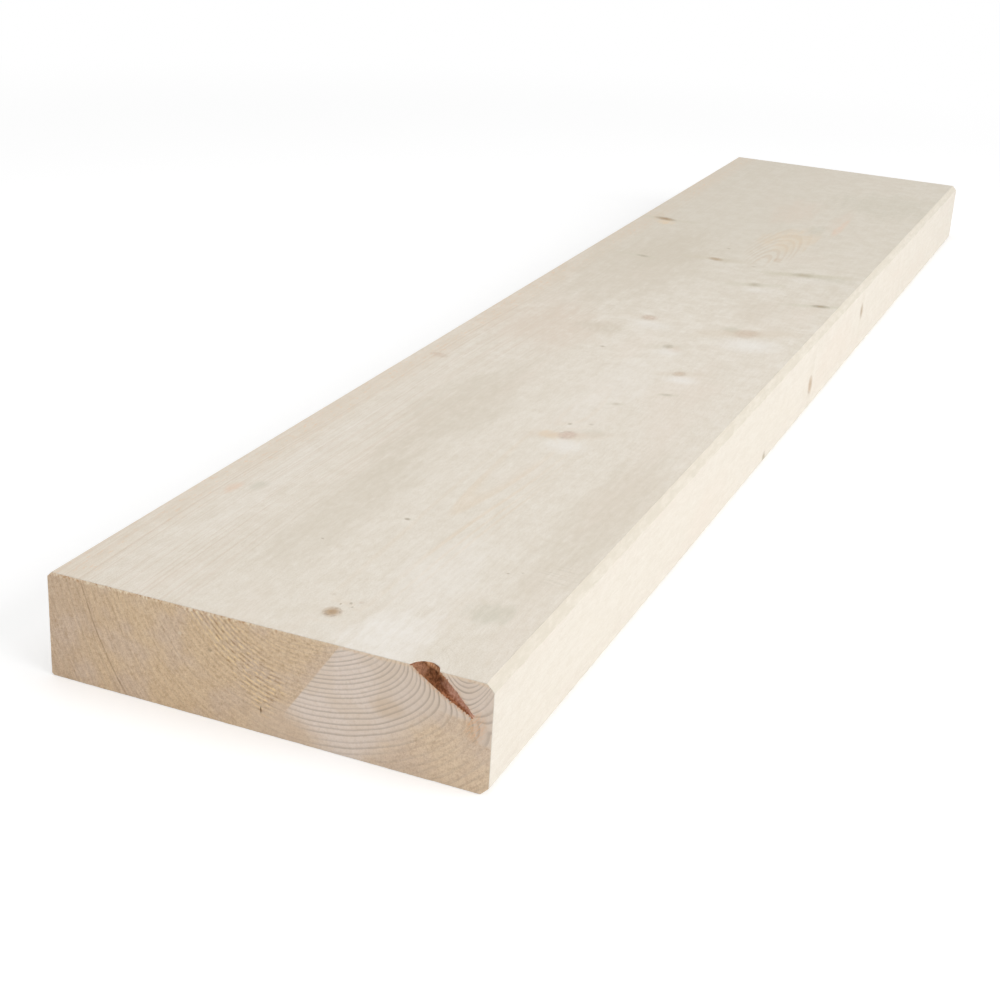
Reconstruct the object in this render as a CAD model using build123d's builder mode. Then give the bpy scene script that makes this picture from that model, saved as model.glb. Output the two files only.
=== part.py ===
from build123d import *
import math
import os

os.makedirs("parts", exist_ok=True)

# A dressed softwood plank, lying flat, in millimetres.
# Its length runs along X and its width along Y. It stands on Z = 0, and the
# origin is the middle of its underside. The end at low X is the one with the
# open knot pocket, and the edge at low Y is the one nearer to that pocket.

# The stock
LENGTH = 1000.0
WIDTH = 195.0
THICKNESS = 47.0

# How far each long arris is planed back on both of its faces
NEAR_TOP_ARRIS = 3.4
NEAR_BOTTOM_ARRIS = 3.6
FAR_TOP_ARRIS = 2.4
FAR_BOTTOM_ARRIS = 1.0

# The pocket that a lost branch left: it opens on the top face and on the sawn
# end, and its middle line slopes down that end to a tip, towards the near edge.
# Insets are from the near edge, and the drop is from the top face.
POCKET_MOUTH_INSET = 28.0
POCKET_TIP_INSET = 8.0
POCKET_TIP_DROP = 15.2
POCKET_MOUTH_WIDTH = 6.8
POCKET_MOUTH_DEPTH = 5.2
POCKET_WAIST_RUN = 10.0
POCKET_WAIST_WIDTH = 4.7
POCKET_WAIST_DEPTH = 3.4
POCKET_TIP_WIDTH = 0.9
POCKET_TIP_DEPTH = 0.6
POCKET_OVERRUN = 9.0

end_x = -LENGTH / 2
near_edge_y = -WIDTH / 2
far_edge_y = WIDTH / 2

# Each arris as its place across the stock, its height and the flat planed on it
arrises = [
    (near_edge_y, THICKNESS, NEAR_TOP_ARRIS),
    (near_edge_y, 0.0, NEAR_BOTTOM_ARRIS),
    (far_edge_y, THICKNESS, FAR_TOP_ARRIS),
    (far_edge_y, 0.0, FAR_BOTTOM_ARRIS),
]

# The pocket's middle line, in the plane of the sawn end
pocket_mouth = Vector(end_x, near_edge_y + POCKET_MOUTH_INSET, THICKNESS)
pocket_tip = Vector(end_x, near_edge_y + POCKET_TIP_INSET, THICKNESS - POCKET_TIP_DROP)
pocket_rise = (pocket_mouth - pocket_tip).normalized()

# The pocket's cross-sections: where each lies on the middle line, its full width
# across the end and its depth into the stock. The last one lies above the top
# face, so that the cut breaks through it cleanly.
pocket_sections = [
    (pocket_tip, POCKET_TIP_WIDTH, POCKET_TIP_DEPTH),
    (pocket_tip + pocket_rise * POCKET_WAIST_RUN, POCKET_WAIST_WIDTH, POCKET_WAIST_DEPTH),
    (pocket_mouth + pocket_rise * POCKET_OVERRUN, POCKET_MOUTH_WIDTH, POCKET_MOUTH_DEPTH),
]

with BuildPart() as plank:
    # The sawn and planed section, drawn square to the length
    with BuildSketch(Plane.YZ):
        Rectangle(WIDTH, THICKNESS, align=(Align.CENTER, Align.MIN))
    extrude(amount=LENGTH / 2, both=True)

    # The four long arrises, each planed back by its own amount
    for across, height, flat in arrises:
        arris = plank.edges().filter_by(Axis.X).sort_by_distance((0, across, height))[0]
        chamfer(arris, length=flat)

    # The open knot pocket: half-oval sections that widen from the tip to the mouth
    for centre, width, depth in pocket_sections:
        with BuildSketch(Plane(origin=centre, x_dir=(1, 0, 0), z_dir=pocket_rise)):
            Ellipse(depth, width / 2)
    loft(mode=Mode.SUBTRACT)

plank.part.label = "plank"
export_step(plank.part, "parts/plank.step")

slope = math.degrees(math.asin(pocket_rise.Z))
print("plank volume in litres:", round(plank.part.volume / 1e6, 4))
print("pocket slope in degrees:", round(slope, 1))
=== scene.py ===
import math

import bpy
import numpy as np
from mathutils import Matrix, Vector


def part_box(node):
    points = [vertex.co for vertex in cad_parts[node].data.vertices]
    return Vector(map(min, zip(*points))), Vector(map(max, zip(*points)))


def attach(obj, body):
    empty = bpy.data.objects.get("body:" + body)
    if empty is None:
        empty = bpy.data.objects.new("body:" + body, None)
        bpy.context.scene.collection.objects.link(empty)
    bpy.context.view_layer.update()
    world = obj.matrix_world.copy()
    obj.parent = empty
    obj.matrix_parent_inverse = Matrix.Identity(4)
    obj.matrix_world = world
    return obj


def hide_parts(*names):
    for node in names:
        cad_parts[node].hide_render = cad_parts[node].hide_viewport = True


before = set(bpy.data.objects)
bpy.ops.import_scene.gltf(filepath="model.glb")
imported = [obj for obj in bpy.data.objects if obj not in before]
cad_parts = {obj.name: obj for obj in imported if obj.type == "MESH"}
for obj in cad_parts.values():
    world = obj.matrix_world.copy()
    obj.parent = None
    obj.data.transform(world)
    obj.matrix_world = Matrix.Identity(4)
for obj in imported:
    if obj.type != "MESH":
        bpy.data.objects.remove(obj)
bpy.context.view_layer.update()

MM = 0.001

# The materials' places on the plank
PLANED, SAWN, BARK = 0, 1, 2

# The plank from the frame. Sizes are in metres, but the wood's pattern is worked out in
# millimetres: names that end in _MM hold those, and so do the tables of edges and marks.
low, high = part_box("plank")
LENGTH, _, THICKNESS = high - low

# The flats planed along the four long arrises, as in the solid
NEAR_TOP_ARRIS = 3.4 * MM
NEAR_BOTTOM_ARRIS = 3.6 * MM
FAR_TOP_ARRIS = 2.4 * MM
FAR_BOTTOM_ARRIS = 1.0 * MM

# The open knot pocket, as in the solid: places across and up the sawn end
POCKET_MOUTH = Vector((low.y + 28.0 * MM, high.z))
POCKET_TIP = Vector((low.y + 8.0 * MM, high.z - 15.2 * MM))
POCKET_RUNS = (0.0, 10.0 * MM, (POCKET_MOUTH - POCKET_TIP).length + 9.0 * MM)
POCKET_HALF_WIDTHS = (0.45 * MM, 2.35 * MM, 3.4 * MM)
POCKET_DEPTHS = (0.6 * MM, 3.4 * MM, 5.2 * MM)

# Mesh spacing: across beside the pocket, over the middle and towards the far edge,
# then up, and along from the near end
PART_ACROSS = (low.y, low.y + 38.0 * MM, 36.0 * MM, high.y)
STEP_ACROSS = (0.47 * MM, 0.72 * MM, 1.3 * MM)
STEP_UP = 0.62 * MM
FIRST_ALONG = 0.45 * MM
LAST_ALONG = 16.0 * MM

# Points this near the pocket's rim are moved onto it
RIM_SNAP = 0.3 * MM

# Relief, all of it inside the solid
END_SETBACK = 0.26 * MM
END_FUZZ = 0.08 * MM
END_RIDGES = 0.1 * MM
RUBBED_EDGE = 0.24 * MM
BARK_RELIEF = 0.35 * MM

# The tree's pith runs above the top face. It falls to its lowest place, climbs beyond it
# and sways: a sway is its size and how far along it goes in a radian.
PITH_ACROSS_MM = -21
PITH_HEIGHT_MM = 84
PITH_LOWEST_MM = 300
PITH_FALL = 0.012
PITH_CLIMB = 0.021
SWAY_UP_MM = (0.7, 61)
SWAYS_ACROSS_MM = ((2.4, 128), (1.1, 47))
# The rings that show as plain dark lines: their distances from the pith and strengths
MARKED_RINGS_MM = ((107.3, 0.3), (123.4, 1), (126.6, 0.25), (148.5, 0.35))
# Spots on the near end, as a middle and radii, across it and up it
NICK_MM = ((-0.6, 10.4), (0.4, 2.1))
PIT_MM = ((22.2, 30.5), (1.4, 1.2))
FLECK_MM = ((35.7, 34.6), (1.3, 1))
# A duller, pinker spot low on the near end, which is painted shade
FOOT_SHADE_MM = ((-22, 6), (42, 17))
TAN_SPOT_MM = ((-55, 26), (10, 6))
BELOW_TIP_MM = ((-90.5, 28), (6, 9))
# Spots on the top face, from its middle, along it and across it
ARCHES_MM = ((200, -20), (85, 26))
WARM_LINES_MM = ((-340, -24), (215, 24))
PRESSED_MM = ((-403, -84), (16, 12))
# Heights over which the top face's looks set in
TOP_FACE_MM = (46.2, 46.7)
# The length of the planer's waves
PLANER_WAVE_MM = 6.5
# The edges of the end's clean part and of its torn strip: each is a direction across and
# up the end, square to the edge, and a point that the edge passes through
CLEAN_LEFT = (-0.832, -0.555, -33.6, 45.9)
CLEAN_FOOT = (-0.657, 0.754, -12.5, 13.5)
CLEAN_RIGHT = (0.68, 0.733, -48, 2)
TORN_LEFT = (0.74, -0.673, 33, 46)
# The pocket's middle line, in the same way
POCKET_LINE = (-0.605, 0.796, -89.5, 31.8)
# How ring widths grow outwards: the first width, where it holds, and how slowly it grows
RING_MM = 1.9
RING_START_MM = 40
RING_GROWTH_MM = 65
# How uneven the widths are: sizes, and rates by the ring
RING_UNEVEN = ((0.09, 1.9), (0.03, 4.3))
# Waves all through the rings: size, cells along and across, and seed
RING_WAVES_MM = ((1.1, 140, 42, 5), (0.3, 45, 10, 6))
# Where the rings start to crowd, across the plank, and over what reach
CROWD_FROM_MM = 30
CROWD_REACH_MM = 45
# The dent in the rings far along the top
DENT_ALONG_MM = (430, 600, 640, 765)
DENT_MM = 7.5
DENT_ACROSS_MM = -20
DENT_HALF_WIDTH_MM = 14
DENT_REACH_MM = 12
# How far the branch in the pocket draws the rings, and how far that reaches aside from
# the pocket, past its tip and into the plank
DRAW_MM = 6.2
DRAW_ASIDE_MM = 3.8
DRAW_PAST_MM = 11
DRAW_IN_MM = 16
# The bowls between the pocket and the near edge: the ring level with the pocket's tip
BOWL_RING_MM = 87
# Their middle, how fast the rings follow below it and how steeply the sides rise
BOWL_MIDDLE_MM = -86
BOWL_RATE = 1.1
BOWL_RISE = 0.11


def graded(start, stop, first, growth, most):
    """Places from start to stop, whose steps grow from first to most."""
    places, step = [start], first
    while places[-1] < stop:
        places.append(places[-1] + step)
        step = min(step * growth, most)
    places = np.array(places)
    return start + (places - start) * (stop - start) / (places[-1] - start)


def smooth(value, low_edge, high_edge):
    """0 below one edge, 1 above the other, and a smooth rise between them."""
    share = np.clip((value - low_edge) / (high_edge - low_edge), 0.0, 1.0)
    return share * share * (3.0 - 2.0 * share)


def lattice_noise(points, seed):
    """Smooth noise from -1 to 1 at an array of 3-D points, one unit a cell."""
    cell = np.floor(points).astype(np.int64)
    part = points - cell
    part = part * part * (3.0 - 2.0 * part)
    total = np.zeros(len(points))
    for corner in np.ndindex(2, 2, 2):
        at = cell + corner
        mixed = at[:, 0] * 374761393 + at[:, 1] * 668265263 + at[:, 2] * 2147483647 + seed * 974711
        mixed = (mixed ^ (mixed >> 13)) * 1274126177 & 0xFFFFFFFF
        mixed = (mixed ^ (mixed >> 16)) & 0xFFFF
        weight = np.prod(np.where(corner, part, 1.0 - part), axis=1)
        total += weight * (mixed / 32767.5 - 1.0)
    return total


# How the wood grew, worked out in millimetres from the corner of the near end

def in_mm(points):
    """Where points lie, in millimetres: along from the near end, across and up."""
    x, y, z = (points / MM).T
    return x - low.x / MM, y, z


def pith_height(x):
    height = PITH_HEIGHT_MM - PITH_FALL * np.minimum(x, PITH_LOWEST_MM)
    height += PITH_CLIMB * np.maximum(x - PITH_LOWEST_MM, 0.0)
    size, length = SWAY_UP_MM
    return height + size * np.sin(x / length)


def ring_dent(x, y, z):
    """A dent in the rings far along the top, whose end shows as a stack of arches."""
    start, full, fading, gone = DENT_ALONG_MM
    along = smooth(x, start, full) * (1.0 - smooth(x, fading, gone))
    across = np.exp(-(((y - DENT_ACROSS_MM) / DENT_HALF_WIDTH_MM) ** 2))
    return DENT_MM * along * across * np.exp((z - THICKNESS / MM) / DENT_REACH_MM)


def ring_radius(points):
    """The distance from the pith that a point's growth ring has where it is undisturbed."""
    x, y, z = in_mm(points)
    across = y - PITH_ACROSS_MM
    for size, length in SWAYS_ACROSS_MM:
        across -= size * np.sin(x / length)
    radius = np.hypot(across, z - pith_height(x))
    # Towards the far edge the rings crowd and stand steeper
    past = np.maximum(y - CROWD_FROM_MM, 0.0)
    radius += 0.5 * past**2 / (past + CROWD_REACH_MM)
    radius -= ring_dent(x, y, z)
    for size, along, over, seed in RING_WAVES_MM:
        radius += size * lattice_noise(np.stack([x / along, y / over, z / over], -1), seed)
    return beside_pocket(points, radius + pocket_bend(points))


def ring_count(radius):
    count = np.arctan((radius - RING_START_MM) / RING_GROWTH_MM) * RING_GROWTH_MM / RING_MM
    return sum([size * np.sin(rate * count) for size, rate in RING_UNEVEN], count)


def pocket_frame(y, z):
    """How far a point of the end lies up the pocket's middle line, and to its side."""
    rise = (POCKET_MOUTH - POCKET_TIP).normalized()
    dy, dz = y - POCKET_TIP.x, z - POCKET_TIP.y
    return dy * rise.x + dz * rise.y, dz * rise.x - dy * rise.y


def pocket_size(run):
    """The pocket's half width and its depth, at a run up its middle line."""
    half = np.polyval(np.polyfit(POCKET_RUNS, POCKET_HALF_WIDTHS, 2), run)
    depth = np.polyval(np.polyfit(POCKET_RUNS, POCKET_DEPTHS, 2), run)
    return half, depth


def pocket_depth(y, z):
    run, side = pocket_frame(y, z)
    half, depth = pocket_size(np.maximum(run, 0.0))
    inside = np.clip(1.0 - (side / half) ** 2, 0.0, 1.0)
    return np.where(run > 0.0, depth * np.sqrt(inside), 0.0)


def pocket_bend(points):
    """How far the rings are drawn aside by the branch that left the pocket."""
    run, side = pocket_frame(points[:, 1], points[:, 2])
    half, _ = pocket_size(np.clip(run, 0.0, POCKET_RUNS[2]))
    past = np.maximum(-run, 0.0)
    off = np.maximum(abs(side) - half, 0.0) / MM
    depth = (points[:, 0] - low.x) / MM
    fade = off / DRAW_ASIDE_MM + past / (DRAW_PAST_MM * MM) + depth / DRAW_IN_MM
    return DRAW_MM * np.exp(-fade)


def beside_pocket(points, radius):
    """The rings between the pocket and the plank's near edge, which sag like bowls."""
    run, side = pocket_frame(points[:, 1], points[:, 2])
    x, y, z = in_mm(points)
    bowls = BOWL_RING_MM + BOWL_RATE * (POCKET_TIP.y / MM - z) + BOWL_RISE * (y - BOWL_MIDDLE_MM) ** 2
    share = smooth(side / MM, -0.5, 0.8) * smooth(run / MM, -4.0, 4.0) * np.exp(-x / DRAW_IN_MM)
    return radius * (1.0 - share) + bowls * share


def beyond(y, z, edge):
    """How far points of the end lie beyond an edge that crosses it."""
    across, up, at_y, at_z = edge
    return across * (y - at_y) + up * (z - at_z)


def torn_share(y, z):
    """How torn the grain of the near end is: a strip of ridges that follow the rings."""
    off = beyond(y, z, TORN_LEFT)
    strip = (1.0 - smooth(off, -2.0, 2.5)) * (0.25 + 0.75 * smooth(off, -20.0, -13.0))
    return strip * (1.0 - smooth(beyond(y, z, CLEAN_LEFT), -9.0, -1.0))


# The mesh of the plank: a grid over each end, joined by rows of faces along it

def across_places():
    parts = []
    for start, stop, step in zip(PART_ACROSS, PART_ACROSS[1:], STEP_ACROSS):
        parts.append(np.linspace(start, stop, round((stop - start) / step), endpoint=False))
    return np.append(np.concatenate(parts), high.y)


def up_places():
    """The grid's places up the plank, with one at each edge of an arris."""
    places = np.linspace(low.z, high.z, round(THICKNESS / STEP_UP) + 1)
    breaks = (NEAR_BOTTOM_ARRIS, FAR_BOTTOM_ARRIS, THICKNESS - NEAR_TOP_ARRIS, THICKNESS - FAR_TOP_ARRIS)
    for height in breaks:
        places[np.argmin(abs(places - height))] = height
    return places


def in_section(y, z):
    """A point drawn in, across the plank, to lie within its section."""
    near = low.y + np.maximum.reduce([z * 0.0, NEAR_BOTTOM_ARRIS - z, z - (THICKNESS - NEAR_TOP_ARRIS)])
    far = high.y - np.maximum.reduce([z * 0.0, FAR_BOTTOM_ARRIS - z, z - (THICKNESS - FAR_TOP_ARRIS)])
    return np.clip(y, near, far)


def on_pocket_rim(y, z):
    """Grid points moved onto the pocket's rim, where they lie close to it."""
    run, side = pocket_frame(y, z)
    half, _ = pocket_size(np.maximum(run, 0.0))
    off = half - abs(side)
    close = (run > RIM_SNAP) & (abs(off) < RIM_SNAP) & (z < THICKNESS - 0.1 * MM)
    rise = (POCKET_MOUTH - POCKET_TIP).normalized()
    shift = np.where(close, np.sign(side) * off, 0.0)
    return y - shift * rise.y, z + shift * rise.x


def end_fuzz(y, z, seed):
    flat = np.stack([y.ravel() / MM, z.ravel() / MM, np.full(y.size, 9.0 * seed)], -1)
    fuzz = lattice_noise(flat / 1.7, seed) + 0.7 * lattice_noise(flat / 0.9, seed + 1)
    return END_FUZZ * fuzz.reshape(y.shape)


def near_relief(y, z):
    """How far the near end lies back: fuzz, and the ridges of its torn grain."""
    points = np.stack([np.full(y.size, low.x), y.ravel(), z.ravel()], -1)
    radius = ring_radius(points)
    torn = torn_share(points[:, 1] / MM, points[:, 2] / MM)
    phase = ring_count(radius) * 2.0 * math.pi
    ragged = 0.6 + 0.4 * lattice_noise(points / MM / 2.3, 9)
    ridges = torn * ragged * np.cos(phase - 1.2)
    return END_SETBACK + end_fuzz(y, z, 1) - END_RIDGES * ridges.reshape(y.shape)


def rim_order(tall, wide):
    """The rows and columns of a grid's outer points, once around it."""
    rim = [(0, column) for column in range(wide)]
    rim += [(row, wide - 1) for row in range(1, tall)]
    rim += [(tall - 1, column) for column in range(wide - 2, -1, -1)]
    rim += [(row, 0) for row in range(tall - 2, 0, -1)]
    return tuple(np.array(rim).T)


def near_grid(y, z):
    """The near end's points, and how deep the pocket is at each."""
    y, z = on_pocket_rim(y, z)
    hollow = pocket_depth(y, z)
    flat = np.stack([y.ravel() * 0.0, y.ravel(), z.ravel()], -1) / MM
    rough = 0.5 * lattice_noise(flat / 1.5, 11) + 0.3 * lattice_noise(flat / 0.8, 12)
    lining = hollow + rough.reshape(hollow.shape) * np.minimum(hollow * 0.2, BARK_RELIEF)
    back = np.where(hollow > 0.0, np.maximum(lining, END_SETBACK), near_relief(y, z))
    return np.stack([low.x + back, y, z], -1), hollow


def rub_rim(end):
    """Draws an end's outer points in, to lie inside the outline of the next row."""
    end[0, :, 2] += RUBBED_EDGE
    end[-1, :, 2] -= RUBBED_EDGE
    end[:, 0, 1] += RUBBED_EDGE
    end[:, -1, 1] -= RUBBED_EDGE


def wall_faces(rim, count, rows):
    """Faces from the near end's rim, through the rows along the plank, to the far rim."""
    loops = [rim]
    loops += [2 * count + row * len(rim) + np.arange(len(rim)) for row in range(rows)]
    loops += [rim + count]
    walls = []
    for here, there in zip(loops, loops[1:]):
        walls.append(np.stack([np.roll(there, -1), there, here, np.roll(here, -1)], -1))
    return np.concatenate(walls)


def build_plank():
    """The plank's vertices and faces, and which material each face takes."""
    z, y = np.meshgrid(up_places(), across_places(), indexing="ij")
    y = in_section(y, z)
    rim = rim_order(*y.shape)
    near, hollow = near_grid(y, z)
    far = np.stack([high.x - END_SETBACK - end_fuzz(y, z, 3), y, z], -1)
    near_rim, far_rim = near[rim], far[rim]
    rub_rim(near)
    rub_rim(far)
    near_rim[:, 0] += RUBBED_EDGE
    far_rim[:, 0] -= RUBBED_EDGE
    along = graded(0.0, 1.0, FIRST_ALONG / LENGTH, 1.13, LAST_ALONG / LENGTH)
    rows = [near_rim * (1.0 - share) + far_rim * share for share in along]
    points = np.concatenate([near.reshape(-1, 3), far.reshape(-1, 3)] + rows)

    count = y.size
    grid = np.arange(count).reshape(y.shape)
    near_faces = np.stack([grid[:-1, :-1], grid[1:, :-1], grid[1:, 1:], grid[:-1, 1:]], -1).reshape(-1, 4)
    walls = wall_faces(grid[rim], count, len(rows))
    faces = np.concatenate([near_faces, near_faces[:, ::-1] + count, walls])

    kinds = np.zeros(len(faces), np.int32)
    kinds[: 2 * len(near_faces)] = SAWN
    kinds[: len(near_faces)][hollow.ravel()[near_faces].max(1) > 0.1 * MM] = BARK
    return points, faces, kinds


def pocket_place(points):
    """Each vertex's run up the pocket, its place across the pocket from -1 to 1, and
    how deep in it lies."""
    run, side = pocket_frame(points[:, 1], points[:, 2])
    half, _ = pocket_size(np.clip(run, 0.0, POCKET_RUNS[2]))
    return np.stack([run / MM, side / half, (points[:, 0] - low.x) / MM], -1)


# Knots: branches that run outwards from the pith. Each is where it shows on a face, in
# millimetres from the near end, the middle and the underside, then its radius, how much
# longer it is along the plank, its strength, its redness, and the strength of its trail
# across the grain and of the pale patch on its near side.
KNOTS = [
    ((23.6, -18.6, 47), 4, 1.2, 1, 0.3, 0.2, 0.2),
    ((254.9, -27.1, 47), 4.8, 1.45, 0.52, 0.85, 0.7, 0.8),
    ((378.8, -46.2, 47), 3.4, 1.4, 0.45, 0.5, 0.6, 0.9),
    ((424.2, -25, 47), 3.4, 1.4, 0.44, 0.05, 0.4, 0.7),
    ((474.4, 3.3, 47), 4.7, 1.3, 0.52, 0.6, 0.3, 0.6),
    ((474.8, -58.2, 47), 5.4, 1.9, 0.34, 0.6, 1, 0.9),
    ((560.4, -83.3, 47), 3.1, 1.3, 0.75, 0, 1, 0),
    ((731.2, 76.5, 47), 3.2, 1.6, 1, 0.22, 0.8, 0),
    ((637.2, 9.3, 47), 4.6, 1, 0.72, 0.3, 1, 0.1),
    ((587.1, -32.5, 47), 4.6, 1.2, 0.32, 0, 0.8, 0.5),
    ((630.1, -54.5, 47), 6, 1, 0.36, 0.1, 1.3, 0.3),
    ((489.4, -97.5, 17.5), 5, 1.1, 0.85, 0.35, 0.3, 0),
    ((628.8, -97.5, 29.4), 4.8, 1, 0.75, 0.25, 0.3, 0),
]
# Specks: given in the same way, but small, and the rings pass them by
SPECKS = [
    ((31.3, -18.2, 47), 1, 1, 0.6, 0.1, 0, 0),
    ((33.6, -21.5, 47), 0.9, 1.3, 0.6, 0.1, 0, 0),
    ((30.9, -23.5, 47), 0.7, 1.3, 0.5, 0.1, 0, 0),
    ((36.3, -24.7, 47), 1.2, 1, 0.25, 0.6, 0, 0),
    ((37.5, -11.8, 47), 1.5, 1, 0.2, 0.2, 0, 0),
    ((119.4, -4.4, 47), 1.4, 1, 0.75, 0, 0.3, 0),
    ((82.7, 17.8, 47), 0.6, 1, 0.6, 0, 0, 0),
    ((89.8, -64.7, 47), 0.6, 1, 0.65, 0, 0, 0),
    ((93.2, -69.8, 47), 0.5, 1, 0.5, 0, 0, 0),
    ((270.5, -22.6, 47), 1.8, 1, 0.4, 0, 0.3, 0),
    ((275.6, -32.2, 47), 1.5, 1, 0.25, 0, 0.3, 0),
    ((312.1, -32.6, 47), 2.4, 1.2, 0.2, 0.1, 0.5, 0),
    ((340.7, -51.4, 47), 2.6, 1, 0.3, 0, 0.6, 0),
    ((403.2, 8, 47), 1.5, 1.2, 0.45, 0.1, 0.3, 0),
    ((615.6, 55.5, 47), 2.2, 1.4, 0.4, 0, 0.6, 0),
    ((671.3, 9.8, 47), 1.3, 1.4, 0.35, 0.1, 0.3, 0),
    ((632.8, -19.2, 47), 1.5, 1.2, 0.25, 0.1, 0.3, 0),
    ((386.4, -97.5, 4.8), 3, 1.2, 0.7, 0.05, 0.2, 0),
    ((337, 82, 47), 2, 2, 0.3, 0.6, 0.2, 0),
]
# How far knots lean along the plank, how far their looks reach, in radii, and how deep
KNOT_LEAN = 0.2
KNOT_REACH = 14.0
KNOT_DEPTH_MM = 22.0
# How many times narrower a speck's reach is, and the place of corners beside no knot
SPECK_NARROWER = 4.0
NO_KNOT = 40.0


def beside_knot(points, mark):
    """Where points lie beside a knot's axis, in its radii, along and across the plank, and
    how far off the face they are, in millimetres."""
    place, radius, stretch = mark[:3]
    point = np.array(place) + (low.x / MM, 0.0, 0.0)
    outward = point - (point[0], PITH_ACROSS_MM, PITH_HEIGHT_MM)
    outward[0] = KNOT_LEAN * np.linalg.norm(outward)
    outward /= np.linalg.norm(outward)
    along = np.array((1.0, 0.0, 0.0)) - outward[0] * outward
    along /= np.linalg.norm(along)
    local = points / MM - point
    depth = abs(local @ outward)
    return local @ along / (radius * stretch), local @ np.cross(outward, along) / radius, depth


def gap_to_axis(corners):
    """How far each face stays from a knot's axis one way, from its four corners."""
    corners = corners.reshape(-1, 4)
    return np.maximum(corners.min(1), -corners.max(1)).clip(0.0)


def knot_fields(points, faces):
    """For each corner of each face, its place beside the nearest knot and whether that is
    a speck, then its looks: strength, redness, trail and pale patch."""
    corners = points[faces.ravel()]
    offset = np.full((len(corners), 3), NO_KNOT)
    looks = np.zeros((len(corners), 4))
    nearest = np.full(len(faces), np.inf)
    top_foot = THICKNESS - NEAR_TOP_ARRIS
    on_top = points[faces].mean(1)[:, 2] > top_foot
    for mark in KNOTS + SPECKS:
        speck = mark in SPECKS
        along, across, depth = beside_knot(corners, mark)
        gap = np.hypot(gap_to_axis(along), gap_to_axis(across)) * (SPECK_NARROWER if speck else 1.0)
        wins = (gap < np.minimum(nearest, KNOT_REACH)) & (depth.reshape(-1, 4).min(1) < KNOT_DEPTH_MM)
        wins &= on_top == (mark[0][2] > top_foot / MM)
        nearest[wins] = gap[wins]
        wins = np.repeat(wins, 4)
        offset[wins] = np.stack([along, across, np.full(len(along), float(speck))], -1)[wins]
        looks[wins] = mark[3:]
    return offset, looks


def attribute(mesh, name, kind, domain, values):
    layer = mesh.attributes.new(name, kind, domain)
    key = {"FLOAT": "value", "FLOAT_VECTOR": "vector", "FLOAT_COLOR": "color"}[kind]
    layer.data.foreach_set(key, np.ascontiguousarray(values, np.float32).ravel())


# Nodes

class Graph:
    """Adds nodes to a tree and joins them. A value that isn't a socket is set in place."""

    def __init__(self, tree):
        self.tree = tree
        self.tree.nodes.clear()

    def node(self, kind, inputs=()):
        """A node with its inputs, which are given by name."""
        node = self.tree.nodes.new("ShaderNode" + kind)
        for name, value in dict(inputs).items():
            self.put(node.inputs[name], value)
        return node

    def add(self, kind, *values, output=0, **settings):
        """The output of a node whose inputs are given in order."""
        node = self.node(kind)
        for name, value in settings.items():
            setattr(node, name, value)
        for slot, value in enumerate(values):
            if value is not None:
                self.put(node.inputs[slot], value)
        return node.outputs[output]

    def put(self, socket, value):
        if isinstance(value, bpy.types.NodeSocket):
            self.tree.links.new(value, socket)
        else:
            socket.default_value = value

    def math(self, operation, *values):
        return self.add("Math", *values, operation=operation)

    def plus(self, total, *others):
        for other in others:
            total = self.math("ADD", total, other)
        return total

    def minus(self, a, b):
        return self.math("SUBTRACT", a, b)

    def times(self, total, *others):
        for other in others:
            total = self.math("MULTIPLY", total, other)
        return total

    def length(self, a, b):
        return self.math("SQRT", self.plus(self.times(a, a), self.times(b, b)))

    def vector(self, operation, *values, output=0):
        return self.add("VectorMath", *values, operation=operation, output=output)

    def split(self, vector):
        node = self.add("SeparateXYZ", vector).node
        return node.outputs[0], node.outputs[1], node.outputs[2]

    def join(self, x, y, z):
        return self.add("CombineXYZ", x, y, z)

    def place_mm(self):
        """Where the shaded point is, in millimetres from the plank's middle."""
        where = self.node("TexCoord").outputs["Object"]
        return self.vector("SCALE", where, None, None, 1.0 / MM)

    def smooth(self, value, low_edge, high_edge, least=0.0, most=1.0):
        names = ("Value", "From Min", "From Max", "To Min", "To Max")
        node = self.node("MapRange", zip(names, (value, low_edge, high_edge, least, most)))
        node.interpolation_type = "SMOOTHSTEP"
        return node.outputs["Result"]

    def noise(self, vector, scale, detail=2.0, roughness=0.5):
        names = ("Vector", "Scale", "Detail", "Roughness")
        node = self.node("TexNoise", zip(names, (vector, scale, detail, roughness)))
        return node.outputs["Fac"]

    def stretched(self, vector, scales, detail=2.0, roughness=0.5):
        return self.noise(self.vector("MULTIPLY", vector, scales), 1.0, detail, roughness)

    def mix(self, share, a, b):
        """Mixes two colours, each a socket or given as it shows on screen, from 0 to 255."""
        node = self.node("Mix")
        node.data_type = "RGBA"
        self.put(node.inputs[0], share)
        for slot, value in ((6, a), (7, b)):
            self.put(node.inputs[slot], value if isinstance(value, bpy.types.NodeSocket) else colour(*value))
        return node.outputs[2]

    def layered(self, base, *layers):
        """Lays colours over a base. Each layer is a value, where that value shows none of
        the colour and where most of it, the largest share, and the colour."""
        for value, none_at, most_at, most, tint in layers:
            base = self.mix(self.smooth(value, none_at, most_at, 0.0, most), base, tint)
        return base

    def read(self, name, output="Fac"):
        node = self.node("Attribute")
        node.attribute_name = name
        return node.outputs[output]


def colour(red, green, blue):
    """A colour as it shows on screen, turned into the one that a shader takes."""
    shown = [red / 255, green / 255, blue / 255]
    taken = [part / 12.92 if part <= 0.04045 else ((part + 0.055) / 1.055) ** 2.4 for part in shown]
    return (*taken, 1.0)


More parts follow.
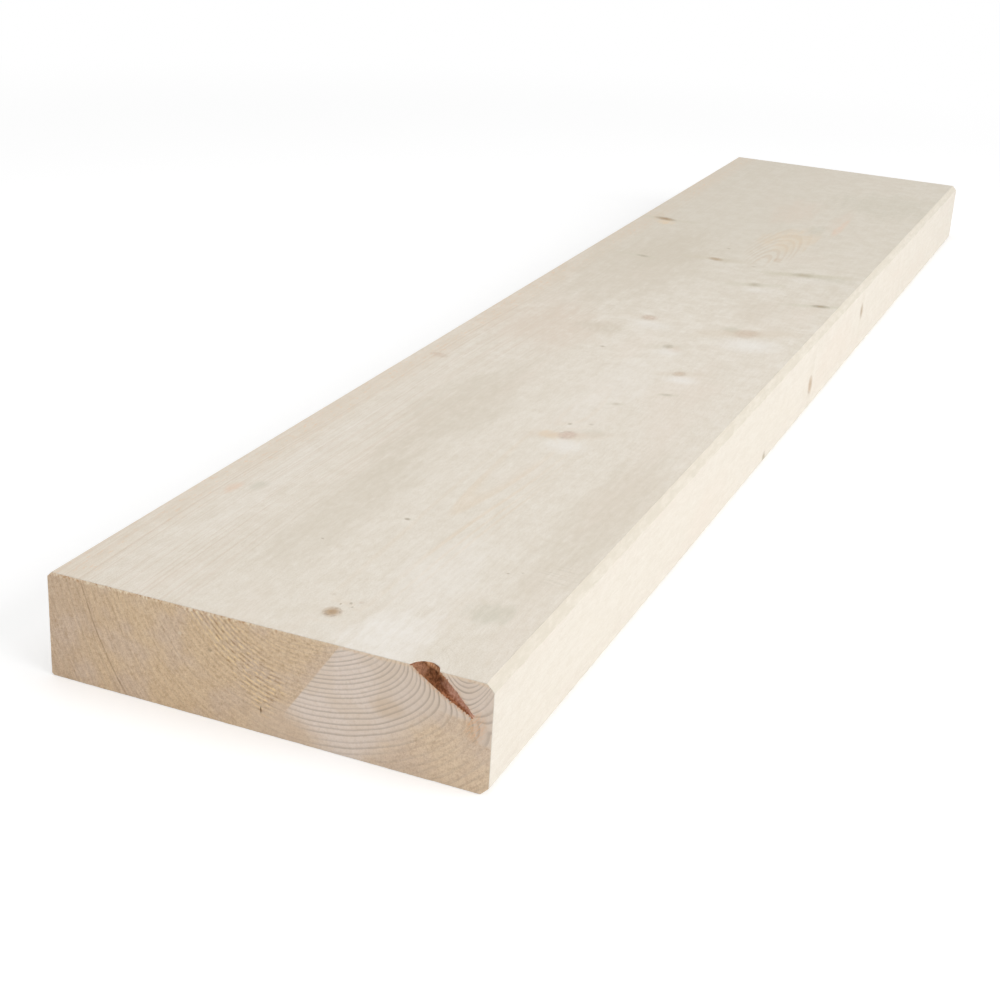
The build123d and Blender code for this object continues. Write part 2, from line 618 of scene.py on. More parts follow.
def growth_rings():
    """The node group that places the growth rings all through the wood."""
    group = bpy.data.node_groups.new("growth_rings", "ShaderNodeTree")
    g = Graph(group)
    place = g.place_mm()
    _, y, z = g.split(place)

    # Knots push the rings aside, but specks don't
    beside, over, speck = g.split(g.read("knot_offset", "Vector"))
    outside = g.math("MAXIMUM", g.minus(g.length(beside, over), 1), 0)
    swell = g.math("EXPONENT", g.times(outside, -1))
    swell = g.times(swell, g.minus(1, speck))
    radius = g.plus(g.read("ring_radius"), g.times(swell, 2.6))

    # Each ring starts pale, darkens into its late wood and stops at a sharper edge
    count = g.math("ARCTANGENT", g.math("DIVIDE", g.minus(radius, RING_START_MM), RING_GROWTH_MM))
    count = g.times(count, RING_GROWTH_MM / RING_MM)
    uneven = [g.times(g.math("SINE", g.times(count, rate)), size) for size, rate in RING_UNEVEN]
    count = g.plus(count, *uneven)
    phase = g.math("FRACT", count)
    age = g.add("TexWhiteNoise", None, g.math("FLOOR", count), noise_dimensions="1D")
    late = g.times(g.smooth(phase, 0.3, 0.86), g.smooth(phase, 1, 0.9))
    line = g.times(g.smooth(phase, 0.52, 0.84), g.smooth(phase, 1, 0.9))
    marked = 0.0
    for at, share in MARKED_RINGS_MM:
        off = g.math("ABSOLUTE", g.minus(radius, at))
        marked = g.plus(marked, g.smooth(off, 0.1, 0.85, share, 0))

    values = {
        "Place": place,
        "Radius": radius,
        "Phase": phase,
        "Late": g.times(late, g.plus(0.62, g.times(age, 0.48))),
        "Line": g.times(line, g.plus(0.55, g.times(age, 0.55))),
        "Marked": marked,
        "Fibre": g.stretched(place, (0.035, 1.1, 1.1), 3, 0.6),
        "Turn": g.math("ARCTAN2", g.minus(y, PITH_ACROSS_MM), g.minus(PITH_HEIGHT_MM, z)),
    }
    for name in values:
        kind = "NodeSocketVector" if name == "Place" else "NodeSocketFloat"
        group.interface.new_socket(name, in_out="OUTPUT", socket_type=kind)
    out = group.nodes.new("NodeGroupOutput")
    for name, value in values.items():
        g.put(out.inputs[name], value)
    return group


def new_material(name):
    material = bpy.data.materials.new(name)
    material.use_nodes = True
    return material, Graph(material.node_tree)


def finish_material(g, base, rough, height, distance, gloss=0.3):
    bump = g.node("Bump", {"Distance": distance, "Height": height}).outputs[0]
    inputs = {"Base Color": base, "Roughness": rough, "Specular IOR Level": gloss, "Normal": bump}
    surface = g.node("BsdfPrincipled", inputs).outputs[0]
    g.node("OutputMaterial", {"Surface": surface})


def rings_in(g, group):
    node = g.node("Group")
    node.node_tree = group
    return node.outputs


# Soft patches on the top face: where each lies, in millimetres from the near end and from
# the middle, its half length and half width, its strength and its colour
GREEN_TAN = (209, 199, 182)
ROSE_TAN = (216, 201, 184)
WARM_TAN = (224, 203, 174)
DULL_TAN = (205, 195, 177)
GREY_GREEN = (196, 191, 173)
BROWN_TAN = (200, 176, 148)
PINK_TAN = (226, 194, 170)
PALE = (238, 233, 226)
TOP_PATCHES = [
    (120, 26, 115, 22, 0.55, GREEN_TAN),
    (265, 36, 120, 30, 0.62, GREEN_TAN),
    (165, -80, 110, 22, 0.55, GREEN_TAN),
    (525, -50, 44, 22, 0.5, GREEN_TAN),
    (590, 50, 160, 60, 0.62, GREEN_TAN),
    (12, -48, 34, 24, 0.62, PALE),
    (70, -42, 70, 22, 0.3, PALE),
    (150, 68, 150, 12, 0.14, PALE),
    (330, -22, 90, 22, 0.25, PALE),
    (425, 50, 56, 46, 0.62, ROSE_TAN),
    (439, 24, 16, 22, 0.5, DULL_TAN),
    (640, 44, 70, 34, 0.4, DULL_TAN),
    (722, -22, 50, 24, 0.4, WARM_TAN),
    (814, -5, 60, 24, 0.5, ROSE_TAN),
    (811, -41, 56, 9, 0.45, ROSE_TAN),
    (880, -62, 60, 60, 0.32, GREY_GREEN),
    (51, -72.5, 13, 14, 0.5, GREY_GREEN),
    (111, 79, 10, 4.5, 0.5, PINK_TAN),
    (120, 70, 9, 6, 0.45, GREY_GREEN),
    (660, -29, 8, 4, 0.4, BROWN_TAN),
    (764, -32, 22, 8, 0.35, GREY_GREEN),
    (780, -46, 40, 4, 0.4, PINK_TAN),
    (251, -18.8, 7, 7, 0.65, WARM_TAN),
    (264, -39, 6, 8, 0.3, GREY_GREEN),
    (420, -31, 8, 6, 0.6, ROSE_TAN),
    (478, -47, 9, 7, 0.5, GREY_GREEN),
    (630, -70, 12, 24, 0.4, GREY_GREEN),
    (721, 72, 12, 8, 0.9, WARM_TAN),
    (739, 84, 12, 5, 0.6, DULL_TAN),
    (636, 3, 7, 8, 0.6, DULL_TAN),
]


def spot(g, across, up, centre, radii, waver=0):
    """A soft round mask: 1 at the centre and 0 beyond the radii."""
    across = g.math("DIVIDE", g.minus(across, centre[0]), radii[0])
    up = g.math("DIVIDE", g.minus(up, centre[1]), radii[1])
    return g.smooth(g.plus(g.length(across, up), waver), 1, 0.3)


def with_patches(g, base, place, upper):
    """Soft patches on the top face, ragged along the grain."""
    x, y, _ = g.split(place)
    waver = g.times(g.minus(g.stretched(place, (0.03, 0.14, 0.14), 3, 0.6), 0.5), 1.5)
    mottle = g.stretched(place, (0.16, 0.4, 0.4), 3, 0.6)
    broken = g.times(g.smooth(mottle, 0.3, 0.66, 0.55, 1.1), upper)
    for along, across, half_length, half_width, strength, tint in TOP_PATCHES:
        centre = (along + low.x / MM, across)
        share = spot(g, x, y, centre, (half_length, half_width), waver)
        base = g.mix(g.times(share, broken, strength), base, tint)
    return base


def with_knots(g, base, place):
    """Knots and specks: each has a pale patch on its near side, a trail that slants across
    the grain, and a ragged body with a broken rim and a warmer heart."""
    dark, red, trail = g.split(g.read("knot_looks", "Color"))
    halo = g.read("knot_looks", "Alpha")
    beside, over, _ = g.split(g.read("knot_offset", "Vector"))
    ragged = g.minus(g.noise(place, 0.55, 3, 0.6), 0.5)
    knot = g.plus(g.length(beside, over), g.times(ragged, 1.3))

    side = g.times(g.plus(beside, 2.2), 0.7)
    lap = g.times(g.minus(over, 1), 0.45)
    far_off = g.plus(g.length(side, lap), g.times(ragged, 0.8))
    base = g.mix(g.times(g.smooth(far_off, 0.1, 1.5, 0.62, 0), halo), base, (238, 235, 230))

    slant = g.math("ABSOLUTE", g.minus(beside, g.times(over, 0.3)))
    streak = g.smooth(g.plus(slant, g.times(ragged, 1.6)), 1.3, 0.2)
    streak = g.times(streak, g.smooth(g.math("ABSOLUTE", over), 6, 0.8))
    tint = g.mix(red, (202, 196, 174), (216, 196, 176))
    base = g.mix(g.times(streak, trail, 0.5), base, tint)

    brown = g.mix(g.smooth(red, 0, 0.4), (146, 136, 112), (176, 138, 94))
    brown = g.mix(g.smooth(red, 0.4, 0.8), brown, (184, 140, 120))
    body = g.times(g.smooth(knot, 1.2, 0.35), dark)
    base = g.mix(g.times(body, g.plus(0.62, g.times(ragged, 2))), base, brown)
    heart = g.times(g.smooth(knot, 0.6, 0.1), g.smooth(red, 0.5, 0.2), dark)
    base = g.mix(g.times(heart, g.smooth(ragged, -0.12, 0.1, 0.75, 0.25)), base, (146, 108, 62))
    rim = g.times(g.smooth(knot, 0.5, 0.8), g.smooth(knot, 1.2, 0.85))
    rim = g.times(rim, dark, g.smooth(ragged, -0.05, 0.15, 0, 0.45))
    return g.mix(rim, base, (132, 104, 80))


def planed_rings(g, wood, upper):
    """The planed faces' ground, where the rings show faintly towards the far edge, as thin
    warm lines near the end and as nested arches far along the top."""
    x, y, _ = g.split(wood["Place"])
    late = wood["Late"]
    arches = g.times(spot(g, x, y, *ARCHES_MM), upper)
    patchy = g.smooth(g.stretched(wood["Place"], (0.012, 0.05, 0.05)), 0.35, 0.65, 0.35, 1)
    faint = g.plus(g.smooth(y, 0, 60, 0.05, 0.13), g.smooth(y, -50, -85, 0, 0.02))
    base = g.mix(g.times(late, faint, patchy), (227, 219, 206), (194, 176, 154))
    base = g.layered(base, (g.times(late, arches), 0.02, 0.5, 0.6, (204, 176, 144)))
    warm_lines = g.times(spot(g, x, y, *WARM_LINES_MM), upper, patchy, 0.42)
    base = g.mix(g.times(wood["Line"], warm_lines), base, (222, 188, 142))
    marked = g.times(wood["Marked"], g.smooth(y, 40, 60, 0, 0.28))
    return g.mix(marked, base, (180, 150, 124))


def with_grain(g, base, wood, upper, fuzz, hair):
    """Fibres along the grain, the fine fuzz that planing leaves, seams, clouds, and a painted sheen that
    makes the faces below the top paler and greyer.
    """
    place = wood["Place"]
    x, y, _ = g.split(place)
    streaked = g.smooth(wood["Fibre"], 0.42, 0.8, 0, 0.17)
    streaked = g.times(streaked, g.smooth(upper, 0, 1, 0.4, 1))
    base = g.mix(streaked, base, (206, 194, 174))
    fuzzy = g.smooth(upper, 0, 1, 0.18, 0.3)
    mottled = g.smooth(upper, 0, 1, 0.13, 0.22)
    mottle = g.stretched(place, (0.22, 0.3, 0.3), 3, 0.65)
    base = g.layered(
        base,
        (fuzz, 0.46, 0.66, fuzzy, (196, 186, 168)),
        (fuzz, 0.5, 0.32, fuzzy, (243, 238, 230)),
        (hair, 0.46, 0.68, 0.11, (200, 188, 168)),
        (hair, 0.52, 0.3, 0.12, (244, 239, 231)),
        (mottle, 0.46, 0.7, mottled, (208, 196, 176)),
    )

    # Fine seams that follow the rings towards the far edge
    seam = g.noise(g.join(g.times(wood["Radius"], 0.95), g.times(x, 0.005), 0), 1, 1, 0.5)
    seam = g.times(g.smooth(seam, 0.5, 0.66), g.smooth(y, 10, 55))
    base = g.mix(g.times(seam, upper, 0.3), base, (204, 182, 160))

    # Clouds everywhere, and larger blotches that grow stronger along the top
    cloud = g.stretched(place, (0.08, 0.3, 0.3), 3, 0.7)
    blotch = g.stretched(place, (0.1, 0.09, 0.09), 4, 0.65)
    spread = g.times(g.smooth(x, -250, 150, 0.35, 1), g.smooth(upper, 0, 1, 0.25, 1), 0.3)
    return g.layered(
        base,
        (cloud, 0.46, 0.66, 0.13, (206, 194, 175)),
        (cloud, 0.5, 0.32, 0.13, (240, 235, 226)),
        (blotch, 0.47, 0.62, spread, (206, 194, 176)),
        (blotch, 0.5, 0.36, spread, (240, 235, 227)),
        # Painted sheen: the faces below the top are paler and greyer
        (upper, 1, 0, 0.14, (235, 230, 222)),
    )


def with_broad_tones(g, base, place, upper):
    """Warmer and cooler along the grain, darker far along the top, soft patches, and a
    warm band with orange flecks along the far edge of the top."""
    x, y, _ = g.split(place)
    warm = g.stretched(place, (0.01, 0.03, 0.03))
    base = g.layered(base, (warm, 0.48, 0.75, 0.3, (226, 212, 198)))
    shade = g.times(g.smooth(x, -100, 250), g.smooth(y, -40, 30, 0.5, 0.62))
    base = g.mix(g.times(shade, upper), base, (208, 200, 184))
    base = with_patches(g, base, place, upper)
    band = g.times(g.smooth(y, 74, 88), g.smooth(warm, 0.3, 0.55, 0.35, 1), upper)
    base = g.mix(g.times(band, 0.4), base, (216, 200, 180))
    fleck = g.stretched(place, (0.2, 0.7, 0.7))
    return g.mix(g.times(band, g.smooth(fleck, 0.58, 0.7, 0, 0.5)), base, (228, 190, 152))


def planed_wood(group):
    """Dressed faces and arrises: pale, with faint grain, soft patches and small knots."""
    material, g = new_material("planed_wood")
    wood = rings_in(g, group)
    place, fibre = wood["Place"], wood["Fibre"]
    x, y, z = g.split(place)
    upper = g.smooth(z, *TOP_FACE_MM)
    fuzz = g.noise(place, 1.7, 2, 0.65)
    hair = g.stretched(place, (0.22, 1.9, 1.9), 2, 0.6)
    base = planed_rings(g, wood, upper)
    base = with_grain(g, base, wood, upper, fuzz, hair)
    base = with_broad_tones(g, base, place, upper)

    # Short dark marks across the grain, where the planer's rollers pressed
    pressed = g.stretched(place, (0.7, 0.09, 0.09))
    pressed = g.times(g.smooth(pressed, 0.52, 0.66), spot(g, x, y, *PRESSED_MM))
    base = g.mix(g.times(pressed, 0.16), base, (168, 162, 140))
    base = with_knots(g, base, place)

    # The arris nearest the pocket is planed a little darker and is blotched
    blots = g.stretched(place, (0.09, 0.4, 0.4), 4, 0.7)
    flat = g.times(g.smooth(y, -93.5, -94.4), g.smooth(g.plus(z, g.times(blots, 2.4)), 44.2, 45.2))
    base = g.mix(g.times(flat, g.smooth(blots, 0.38, 0.6, 0.35, 0.8)), base, (211, 203, 187))

    # Bumps: late wood and fibres stand up, and the planer left shallow waves
    chatter = g.math("SINE", g.times(x, 2 * math.pi / PLANER_WAVE_MM))
    height = g.plus(g.times(wood["Late"], 0.4), g.times(fibre, 0.5), g.times(hair, 0.35))
    height = g.plus(height, g.times(chatter, 0.1), g.times(fuzz, 0.25))
    rough = g.smooth(fibre, 0.2, 0.9, 0.52, 0.66)
    finish_material(g, base, rough, height, 0.06 * MM)
    return material


def past_edge(g, y, z, edge):
    across, up, at_y, at_z = edge
    return g.plus(g.times(g.minus(y, at_y), across), g.times(g.minus(z, at_z), up))


def clean_share(g, y, z, waver):
    """The clean part: a straight left edge, then softer ones below and to the lower right."""
    clean = g.smooth(past_edge(g, y, z, CLEAN_LEFT), -0.35, 0.45)
    clean = g.times(clean, g.smooth(g.plus(past_edge(g, y, z, CLEAN_FOOT), waver), -5, 5))
    lower = g.smooth(g.plus(past_edge(g, y, z, CLEAN_RIGHT), waver), -4, 7, 0.16, 1)
    fan = g.plus(g.smooth(y, -93, -88, 20, 29.5), g.times(waver, 0.3))
    lower = g.math("MAXIMUM", lower, g.smooth(g.minus(z, fan), -1.5, 1.5))
    return g.times(clean, lower)


def torn_strip(g, y, z, lumps):
    off = past_edge(g, y, z, TORN_LEFT)
    torn = g.times(g.smooth(off, 2.5, -2), g.smooth(off, -20, -13, 0.25, 1))
    torn = g.times(torn, g.smooth(past_edge(g, y, z, CLEAN_LEFT), -1, -9))
    return g.times(torn, g.smooth(lumps, 0.3, 0.6, 0.55, 1))


def fuzzy_tan(g, y, z, broad, lumps, grit, streak):
    tan = g.layered(
        g.mix(g.smooth(y, -60, 40), (238, 213, 182), (234, 207, 172)),
        (y, 60, 97, 0.8, (217, 192, 167)),
        (broad, 0.42, 0.66, 0.55, (226, 205, 188)),
        (lumps, 0.46, 0.7, 0.36, (194, 160, 122)),
        (lumps, 0.46, 0.28, 0.4, (250, 226, 196)),
        (grit, 0.47, 0.68, 0.36, (182, 146, 108)),
        (grit, 0.47, 0.27, 0.36, (252, 234, 210)),
        (streak, 0.45, 0.8, 0.42, (184, 150, 116)),
        (streak, 0.5, 0.25, 0.36, (247, 224, 194)),
    )
    # Painted shade: a duller, pinker patch low on the near end
    return g.mix(g.times(spot(g, y, z, *FOOT_SHADE_MM), 0.45), tan, (228, 208, 190))


def clean_pale(g, y, z, broad, lumps, grit):
    pale = g.layered(
        (243, 228, 215),
        (grit, 0.44, 0.7, 0.24, (202, 183, 164)),
        (lumps, 0.45, 0.7, 0.34, (226, 206, 184)),
        (broad, 0.47, 0.62, 0.36, (230, 210, 187)),
        (y, -40, -60, 0.42, (224, 205, 186)),
    )
    return g.mix(g.times(spot(g, y, z, *TAN_SPOT_MM), 0.5), pale, (222, 198, 170))


def beside_lip(g, y, z):
    """The run up the pocket, the place across it, and how far off its middle line and off
    its lip a point of the near end lies."""
    run, side, _ = g.split(g.read("pocket_place", "Vector"))
    aside = g.math("ABSOLUTE", past_edge(g, y, z, POCKET_LINE))
    half = g.math("DIVIDE", aside, g.math("MAXIMUM", g.math("ABSOLUTE", side), 0.5))
    return run, side, aside, g.minus(aside, half)


def with_marks(g, base, y, z, near):
    """Small marks: a nick, a pit and a light speck."""
    marks = ((NICK_MM, 1, (118, 88, 60)), (PIT_MM, 0.35, (120, 92, 66)), (FLECK_MM, 0.4, (250, 238, 220)))
    for (middle, radii), strength, tint in marks:
        base = g.mix(g.times(spot(g, y, z, middle, radii), near, strength), base, tint)
    return base


def with_lip(g, base, y, z, near):
    """Warm fibres along the pocket's lip and below its tip."""
    run, side, aside, gap = beside_lip(g, y, z)
    frayed = g.noise(g.join(g.times(run, 1.3), g.times(aside, 0.22), 0), 1, 3, 0.7)
    lip = g.times(g.smooth(gap, 0.1, 2, 0.85, 0), g.smooth(run, -3, 1))
    lip = g.times(lip, g.smooth(side, 1, -1, 0.45, 1))
    below = g.times(spot(g, y, z, *BELOW_TIP_MM), 0.6)
    lip = g.times(g.math("MAXIMUM", lip, below), near)
    base = g.mix(g.times(lip, g.smooth(frayed, 0.4, 0.6)), base, (228, 180, 134))
    return g.mix(g.times(lip, g.smooth(frayed, 0.52, 0.3, 0, 0.55)), base, (150, 108, 78))


def with_fringe(g, base, place):
    """The end's top edge: a pale painted highlight along its rounded rim, with tufts of dark and light
    fibres.
    """
    _, y, z = g.split(place)
    fringe = g.stretched(place, (1, 0.9, 0.6), 3, 0.7)
    # A pale painted highlight along the top edge
    painted_rim_highlight = g.smooth(g.plus(z, g.times(fringe, 3)), 46.6, 47.6)
    base = g.mix(g.times(painted_rim_highlight, 0.5), base, (240, 216, 186))
    tufts = g.times(g.smooth(z, 44.6, 46.2), g.smooth(y, -30, 10, 0.2, 0.8))
    base = g.mix(g.times(tufts, g.smooth(fringe, 0.53, 0.62)), base, (196, 150, 110))
    return g.mix(g.times(tufts, g.smooth(fringe, 0.46, 0.4)), base, (255, 240, 216))


def sawn_end(group):
    """Sawn end grain: rings in section, a fuzzy tan part and a cleaner, paler part."""
    material, g = new_material("sawn_end")
    wood = rings_in(g, group)
    place, radius, turn = wood["Place"], wood["Radius"], wood["Turn"]
    x, y, z = g.split(place)
    near = g.smooth(x, 1, -1)
    grit = g.noise(place, 1.9, 2, 0.7)
    lumps = g.noise(place, 0.62, 3, 0.6)
    broad = g.noise(place, 0.06, 2)
    streak = g.noise(g.join(g.times(radius, 0.9), g.times(turn, 16), x), 1, 3, 0.6)
    dashes = g.noise(g.join(g.times(radius, 1.1), g.times(turn, 24), x), 1, 3, 0.7)
    waver = g.times(g.minus(broad, 0.5), 14)
    clean = g.times(clean_share(g, y, z, waver), near)
    torn = g.times(torn_strip(g, y, z, lumps), near)
    tan = fuzzy_tan(g, y, z, broad, lumps, grit, streak)
    base = g.mix(clean, tan, clean_pale(g, y, z, broad, lumps, grit))

    # Ring lines: soft and grey where it is clean, fainter elsewhere, and a few plain ones
    run, _, _, gap = beside_lip(g, y, z)
    close = g.times(g.smooth(gap, 7, 1), g.smooth(run, -12, -3))
    strength = g.plus(g.smooth(near, 0, 1, 0.24, 0.1), g.times(clean, 0.13))
    strength = g.plus(strength, g.times(close, near, 0.2))
    base = g.mix(g.times(wood["Late"], clean, 0.24), base, (176, 155, 136))
    base = g.mix(g.times(wood["Line"], strength), base, (144, 124, 106))
    marked = g.times(wood["Marked"], g.smooth(dashes, 0.35, 0.55, 0.35, 1))
    base = g.mix(g.times(marked, g.smooth(y, 20, 40, 0, 0.5)), base, (150, 114, 84))

    # The ridges: broken, with a painted highlight along each top, and darker between
    ridge = g.math("COSINE", g.minus(g.times(wood["Phase"], 2.0 * math.pi), 1.2))
    ridge = g.plus(ridge, g.times(g.minus(dashes, 0.5), 6.5))
    # Painted highlight on the ridge tops
    base = g.mix(g.times(g.smooth(ridge, 0.5, 1.5), torn, 0.9), base, (254, 226, 178))
    base = g.mix(g.times(g.smooth(ridge, -0.4, -1.6), torn, 0.62), base, (170, 128, 86))

    base = with_marks(g, base, y, z, near)
    base = with_lip(g, base, y, z, near)
    base = with_fringe(g, base, place)

    height = g.times(grit, g.minus(0.85, g.times(clean, 0.55)))
    height = g.plus(height, g.times(streak, g.minus(0.5, g.times(clean, 0.4))))
    height = g.plus(height, g.times(torn, ridge, 0.15))
    rough = g.smooth(grit, 0.2, 0.9, 0.8, 0.92)
    finish_material(g, base, rough, height, 0.3 * MM, gloss=0.15)
    return material


def pocket_bark():
    """The pocket's lining: rough bark with painted light and shade on it. Its lower wall is dark bark with
    painted shade over it, darkest towards the mouth, and its upper wall is pale with painted light, pinker
    towards its tip.
    """
    material, g = new_material("pocket_bark")
    place = g.place_mm()
    run, side, depth = g.split(g.read("pocket_place", "Vector"))
    grain = g.stretched(place, (0.9, 1.1, 0.35), 4, 0.65)
    strand = g.noise(g.join(g.times(run, 0.25), g.times(side, 2.2), depth), 1, 3, 0.6)
    # Painted light and shade: the upper wall is made lighter and the lower wall darker
    upward = g.plus(side, g.times(g.minus(g.noise(place, 0.3, 1), 0.5), 0.5))
    upper = g.smooth(upward, -0.5, -0.1)
    high_up = g.smooth(run, 12, 18)
    dark = g.mix(upper, (104, 65, 40), (192, 132, 92))
    dark = g.mix(high_up, (134, 82, 52), dark)
    light = g.mix(upper, (154, 102, 68), (240, 194, 152))
    light = g.mix(high_up, (190, 132, 96), light)
    wall = g.mix(g.smooth(grain, 0.38, 0.62), dark, light)
    wall = g.mix(g.smooth(strand, 0.52, 0.74, 0, 0.3), wall, (70, 42, 28))
    # Painted light: a pale pink on the upper wall towards the tip
    pink = g.mix(g.smooth(grain, 0.38, 0.66), (214, 160, 134), (244, 202, 178))
    pink = g.mix(g.smooth(strand, 0.5, 0.75, 0, 0.3), pink, (170, 116, 92))
    base = g.mix(g.times(g.smooth(upward, -0.85, -0.5), g.smooth(run, 19, 12)), wall, pink)
    mouth = g.times(g.smooth(side, -0.45, -0.8), g.smooth(run, 22.5, 24.5))
    base = g.mix(g.times(mouth, g.smooth(grain, 0.35, 0.6, 0.4, 0.9)), base, (160, 115, 90))
    # Painted shade: a darker patch at the mouth, on the upper side
    corner = g.times(g.smooth(side, -0.1, 0.25), g.smooth(run, 20, 23))
    base = g.mix(g.times(corner, 0.6), base, (118, 78, 52))
    rough = g.smooth(grain, 0.2, 0.9, 0.8, 0.95)
    finish_material(g, base, rough, grain, 0.5 * MM, gloss=0.15)
    return material


# The baked map and its charts, in pixels: the left, foot, width and height of each
MAP_PIXELS = 1024
MAP_MARGIN = 3
UNDERSIDE = (0, 0, 1024, 236)
FAR_EDGE = (0, 236, 1024, 80)
TOP = (0, 316, 1024, 420)
NEAR_EDGE = (0, 736, 1024, 84)
NEAR_END = (0, 820, 683, 204)
FAR_END = (683, 820, 341, 204)
CHARTS = (UNDERSIDE, FAR_EDGE, TOP, NEAR_EDGE, NEAR_END, FAR_END)


def map_places(points, faces, kinds):
    """Where each corner of each face lies in the baked map: every face of the plank has a
    chart of its own, and the sides that are seen most have the larger ones."""
    share = (points - low) / (high - low)
    middle = points[faces].mean(1)
    gaps = [middle[:, 2], high.y - middle[:, 1], THICKNESS - middle[:, 2], middle[:, 1] - low.y]
    chart = np.argmin(gaps, axis=0)
    on_end = kinds != PLANED
    chart[on_end] = CHARTS.index(NEAR_END)
    chart[on_end & (middle[:, 0] > 0.0)] = CHARTS.index(FAR_END)
    left, foot, width, height = np.array(CHARTS)[chart].T
    corners = share[faces]
    level = np.isin(chart, (CHARTS.index(UNDERSIDE), CHARTS.index(TOP)))[:, None]
    over = np.where(on_end[:, None], corners[..., 1], corners[..., 0])
    up = np.where(level, corners[..., 1], corners[..., 2])
    over = left[:, None] + MAP_MARGIN + over * (width - 2.0 * MAP_MARGIN)[:, None]
    up = foot[:, None] + MAP_MARGIN + up * (height - 2.0 * MAP_MARGIN)[:, None]
    return np.stack([over, up], -1) / MAP_PIXELS


SHARP_ANGLE = math.radians(32.0)


def make_plank():
    points, faces, kinds = build_plank()
    mesh = bpy.data.meshes.new("plank_wood")
    mesh.from_pydata(points.tolist(), [], faces.tolist())
    mesh.validate()
    mesh.update()
    group = growth_rings()
    for material in (planed_wood(group), sawn_end(group), pocket_bark()):
        mesh.materials.append(material)
    mesh.polygons.foreach_set("material_index", kinds)
    mesh.polygons.foreach_set("use_smooth", np.ones(len(faces), bool))
    offset, looks = knot_fields(points, faces)
    attribute(mesh, "knot_offset", "FLOAT_VECTOR", "CORNER", offset)
    attribute(mesh, "knot_looks", "FLOAT_COLOR", "CORNER", looks)
    attribute(mesh, "ring_radius", "FLOAT", "POINT", ring_radius(points))
    attribute(mesh, "pocket_place", "FLOAT_VECTOR", "POINT", pocket_place(points))
    layout = mesh.uv_layers.new(name="OFBake")
    layout.uv.foreach_set("vector", map_places(points, faces, kinds).astype(np.float32).ravel())
    mesh.set_sharp_from_angle(angle=SHARP_ANGLE)
    plank = bpy.data.objects.new("plank_wood", mesh)
    bpy.context.scene.collection.objects.link(plank)
    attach(plank, "root")
    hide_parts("plank")


# Camera, lights and floor

CAMERA_PLACE = Vector((-1.01014, -0.29925, 0.34856))
CAMERA_YAW = math.radians(21.815)
CAMERA_PITCH = math.radians(22.671)
CAMERA_ROLL = math.radians(3.423)
CAMERA_LENS_MM = 62.29
SENSOR_WIDTH_MM = 36.0
NEAREST_SEEN = 0.01

# The lamps face the origin, the plank's middle: where each hangs, its size and its power
LAMPS = {
    "side_panel": ((-0.25, -2.2, 1.1), (2.6, 1.6), 36.0),
    "top_panel": ((-0.5, 0.1, 2.2), (3.0, 2.4), 21.0),
}
# How brightly the white surround lights the plank. Seen directly, it is plain white.
SURROUND = 0.48

# The floor's reach and whiteness, how much it is lifted where it is seen, and how far from
# the origin it fades into the white surround
FLOOR_REACH = 8.0
FLOOR_WHITE = 0.86
FLOOR_LIFT = 0.27
FLOOR_FADE = (0.62, 1.3)


def make_camera():
    camera = bpy.data.cameras.new("camera")
    camera.lens = CAMERA_LENS_MM
    camera.sensor_width = SENSOR_WIDTH_MM
    camera.clip_start = NEAREST_SEEN
    level = math.cos(CAMERA_PITCH)
    ahead = Vector((math.cos(CAMERA_YAW) * level, math.sin(CAMERA_YAW) * level, -math.sin(CAMERA_PITCH)))
    right = Vector((math.sin(CAMERA_YAW), -math.cos(CAMERA_YAW), 0.0))
    up = right.cross(ahead)
    turned = right * math.cos(CAMERA_ROLL) + up * math.sin(CAMERA_ROLL)
    upright = up * math.cos(CAMERA_ROLL) - right * math.sin(CAMERA_ROLL)
    body = bpy.data.objects.new("camera", camera)
    axes = Matrix((turned, upright, -ahead)).transposed().to_4x4()
    body.matrix_world = Matrix.Translation(CAMERA_PLACE) @ axes
    bpy.context.scene.collection.objects.link(body)
    bpy.context.scene.camera = body


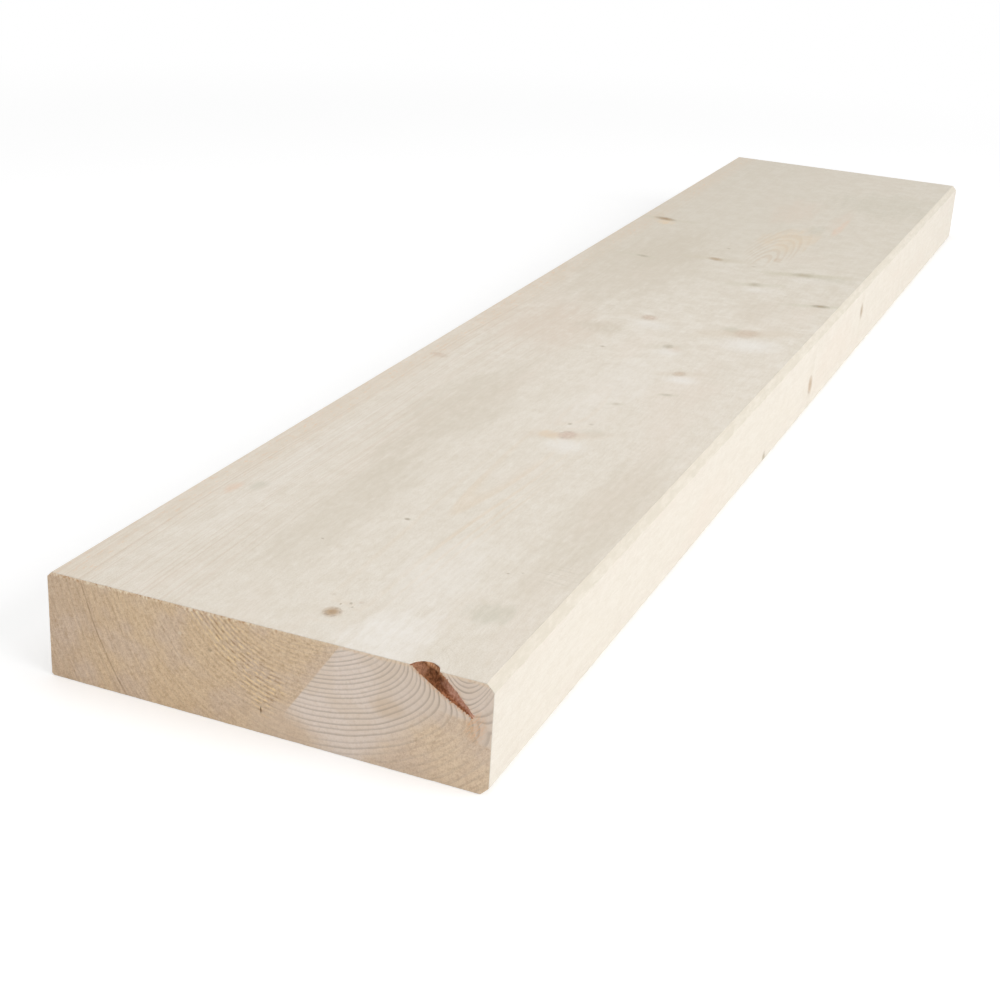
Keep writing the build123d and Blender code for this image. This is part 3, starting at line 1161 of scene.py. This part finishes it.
def make_light(name, place, size, power):
    light = bpy.data.lights.new(name, "AREA")
    light.shape = "RECTANGLE"
    light.size, light.size_y = size
    light.energy = power
    body = bpy.data.objects.new(name, light)
    body.location = place
    body.rotation_euler = (-Vector(place)).to_track_quat("-Z", "Y").to_euler()
    bpy.context.scene.collection.objects.link(body)


def seen_directly(g):
    """1 for rays from the camera, from a mirror or through glass, and 0 for the rest."""
    path = g.node("LightPath")
    seen = g.math("MAXIMUM", path.outputs["Is Camera Ray"], path.outputs["Is Glossy Ray"])
    return g.math("MAXIMUM", seen, path.outputs["Is Transmission Ray"])


def make_lights():
    for name, (place, size, power) in LAMPS.items():
        make_light(name, place, size, power)
    world = bpy.data.worlds.new("studio")
    bpy.context.scene.world = world
    world.use_nodes = True
    g = Graph(world.node_tree)
    strength = g.plus(SURROUND, g.times(seen_directly(g), 1.0 - SURROUND))
    white = {"Color": (1.0, 1.0, 1.0, 1.0), "Strength": strength}
    g.node("OutputWorld", {"Surface": g.node("Background", white).outputs[0]})


def make_floor():
    mesh = bpy.data.meshes.new("floor")
    around = ((-1.0, -1.0), (1.0, -1.0), (1.0, 1.0), (-1.0, 1.0))
    corners = [(x * FLOOR_REACH, y * FLOOR_REACH, 0.0) for x, y in around]
    mesh.from_pydata(corners, [], [(0, 1, 2, 3)])
    floor = bpy.data.objects.new("floor", mesh)
    bpy.context.scene.collection.objects.link(floor)
    material, g = new_material("floor")
    mesh.materials.append(material)
    where = g.node("TexCoord").outputs["Object"]
    seen = seen_directly(g)
    away = g.vector("LENGTH", where, output=1)
    open_floor = g.times(g.smooth(away, *FLOOR_FADE), seen)
    white = (FLOOR_WHITE, FLOOR_WHITE, FLOOR_WHITE, 1.0)
    matt = g.node("BsdfDiffuse", {"Color": white}).outputs[0]
    lift = g.node("Emission", {"Strength": g.times(seen, FLOOR_LIFT)}).outputs[0]
    glow = g.node("Emission", {"Strength": 1.0}).outputs[0]
    both = g.add("MixShader", open_floor, g.add("AddShader", matt, lift), glow)
    g.node("OutputMaterial", {"Surface": both})


make_camera()
make_lights()
make_floor()
make_plank()
bpy.context.scene.view_settings.view_transform = "Standard"
